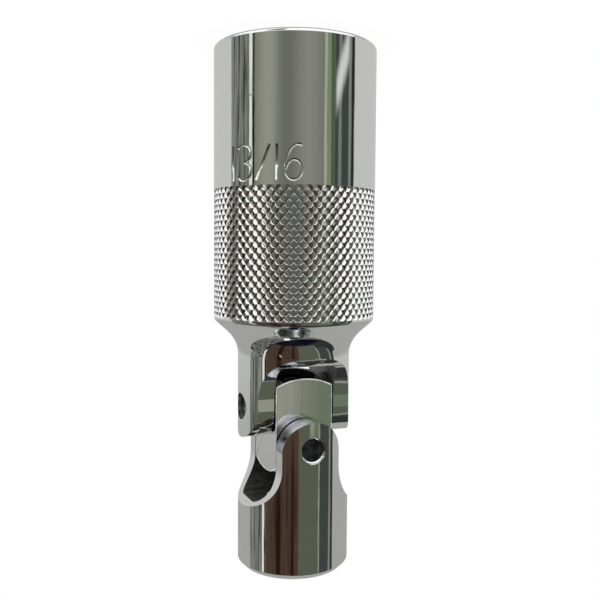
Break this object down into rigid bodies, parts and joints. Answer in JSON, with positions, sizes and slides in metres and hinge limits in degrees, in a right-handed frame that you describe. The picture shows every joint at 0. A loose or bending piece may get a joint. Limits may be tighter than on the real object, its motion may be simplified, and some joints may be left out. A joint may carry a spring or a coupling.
{
  "type": "flexible spark plug socket",
  "caption": "Deep hexagon spark plug socket with a knurled band, joined by a pinned double-hinge universal joint to a square drive end.",
  "frame": {"origin": "centre of the socket's open mouth, in the plane of its rim", "axes": "+Z along the straightened tool's axis towards the square drive end; the socket's hinge pin lies along X and the drive end's hinge pin along Y"},
  "size_m": [0.0272, 0.0272, 0.0874],
  "materials": {
    "chrome": "polished chrome plate over forged and turned alloy steel",
    "pin_steel": "dark oxide finish on hardened steel",
    "rubber": "moulded black rubber"
  },
  "bodies": {
    "socket": {"socket_shell": "chrome", "rubber_insert": "rubber", "socket_pin": "pin_steel"},
    "block": {"center_block": "chrome"},
    "drive": {"drive_yoke": "chrome", "drive_pin": "pin_steel"}
  },
  "joints": [
    {"name": "socket_hinge", "type": "hinge", "parent": "socket", "child": "block", "pos_m": [0, 0, 0.05975], "axis": [1, 0, 0], "range_deg": [-55, 55]},
    {"name": "drive_hinge", "type": "hinge", "parent": "block", "child": "drive", "pos_m": [0, 0, 0.0661], "axis": [0, 1, 0], "range_deg": [-55, 55]}
  ]
}
